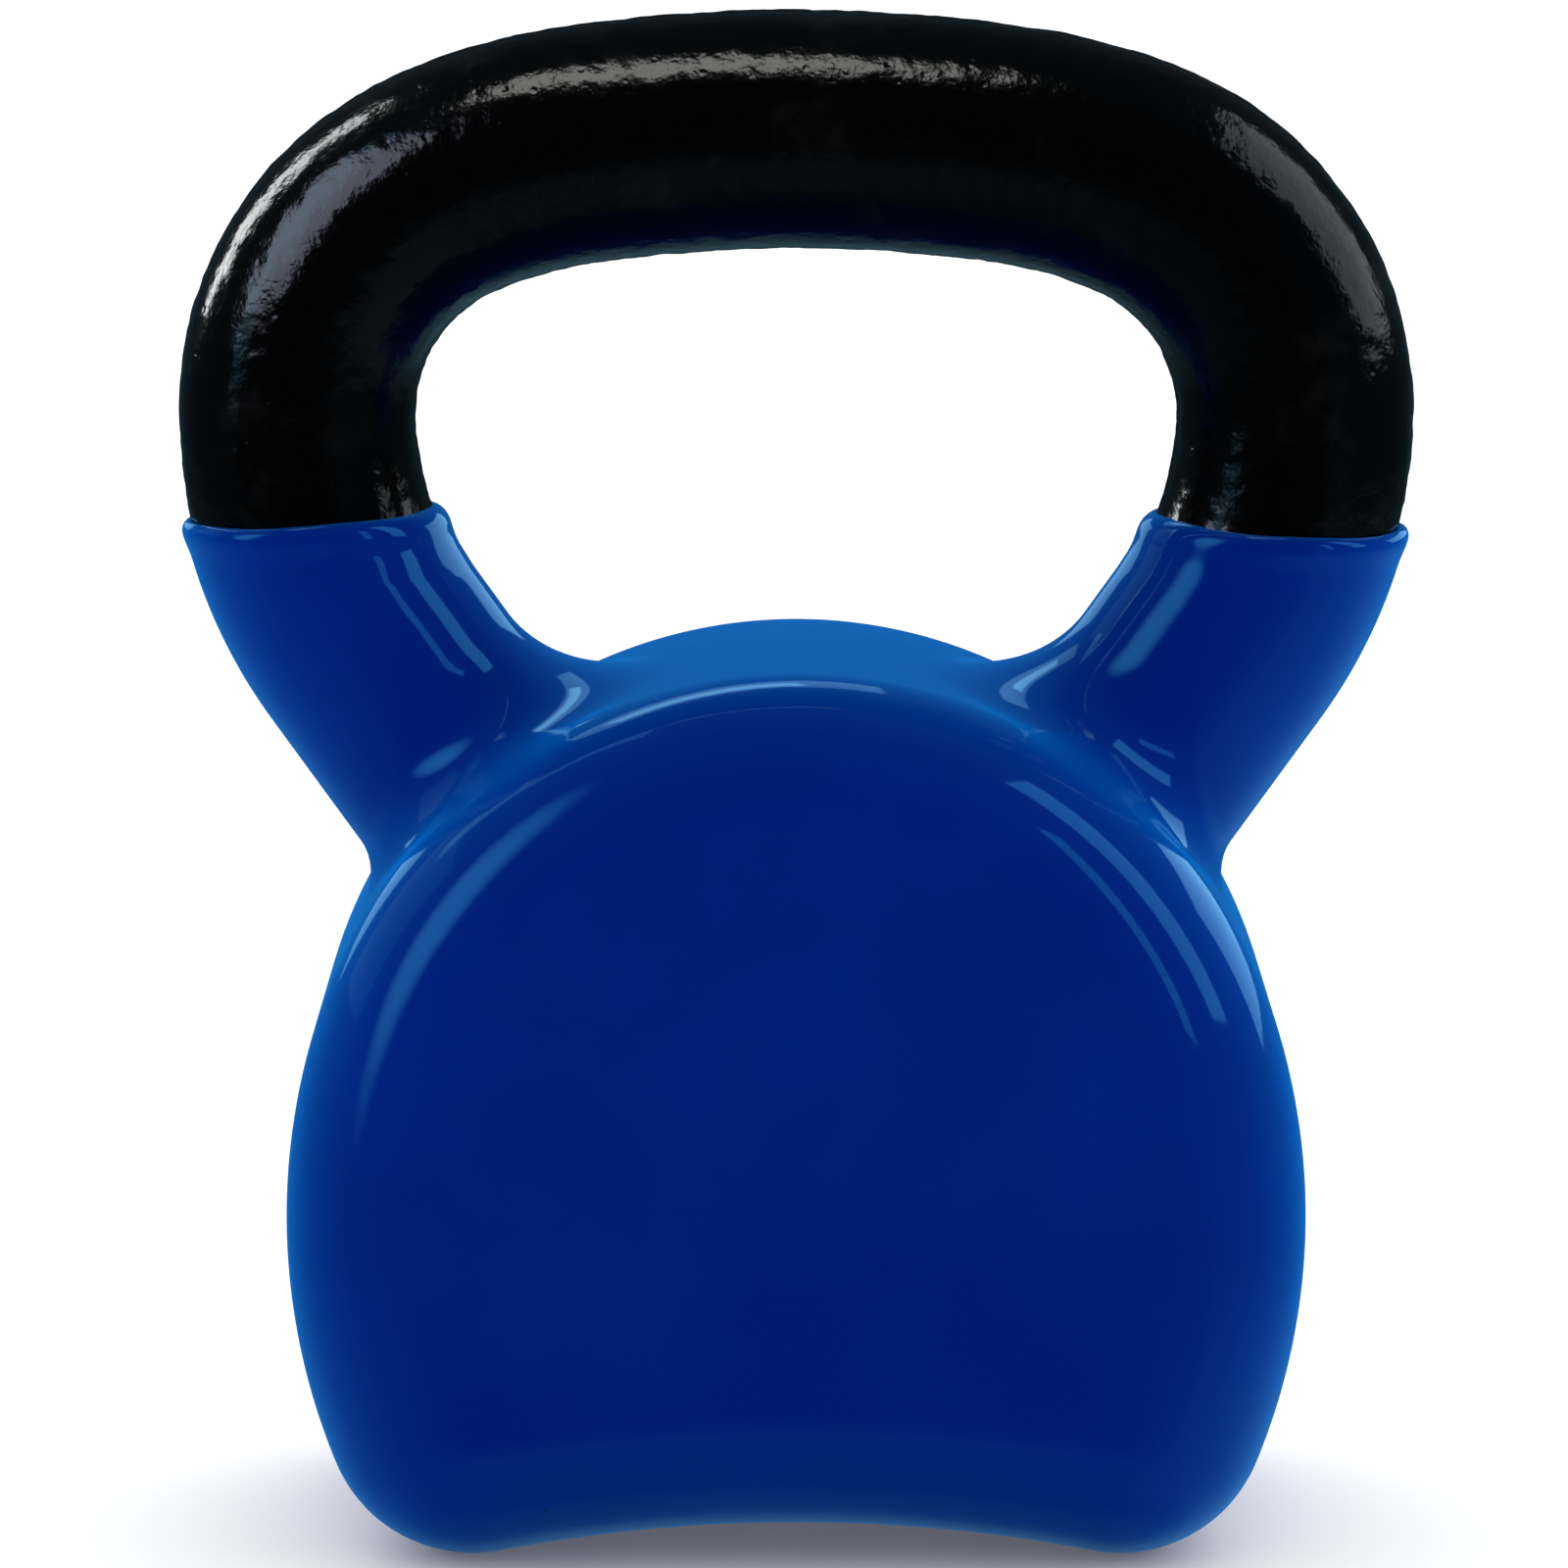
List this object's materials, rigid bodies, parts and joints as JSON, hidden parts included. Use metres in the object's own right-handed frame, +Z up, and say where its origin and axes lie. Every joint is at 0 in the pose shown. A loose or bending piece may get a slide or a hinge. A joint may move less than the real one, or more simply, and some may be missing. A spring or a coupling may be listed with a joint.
{
  "type": "kettlebell",
  "caption": "Vinyl dipped iron kettlebell with flat faces, a hollowed base that stands on its two sides, and a wide black enamelled grip bar.",
  "frame": {"origin": "centre of the base, on the floor that the two feet stand on", "axes": "+Z up from the floor to the top of the grip, X along the grip bar, -Y out of the front face and +Y out of the back face"},
  "size_m": [0.1842, 0.094, 0.227],
  "materials": {
    "cast_iron": "grey iron as cast, with a fine sand texture",
    "black_enamel": "gloss black baked enamel that follows the rough casting",
    "blue_vinyl": "smooth glossy dipped vinyl in deep blue"
  },
  "bodies": {
    "root": {"iron_casting": "cast_iron", "handle_enamel": "black_enamel", "vinyl_coat": "blue_vinyl"}
  },
  "joints": []
}
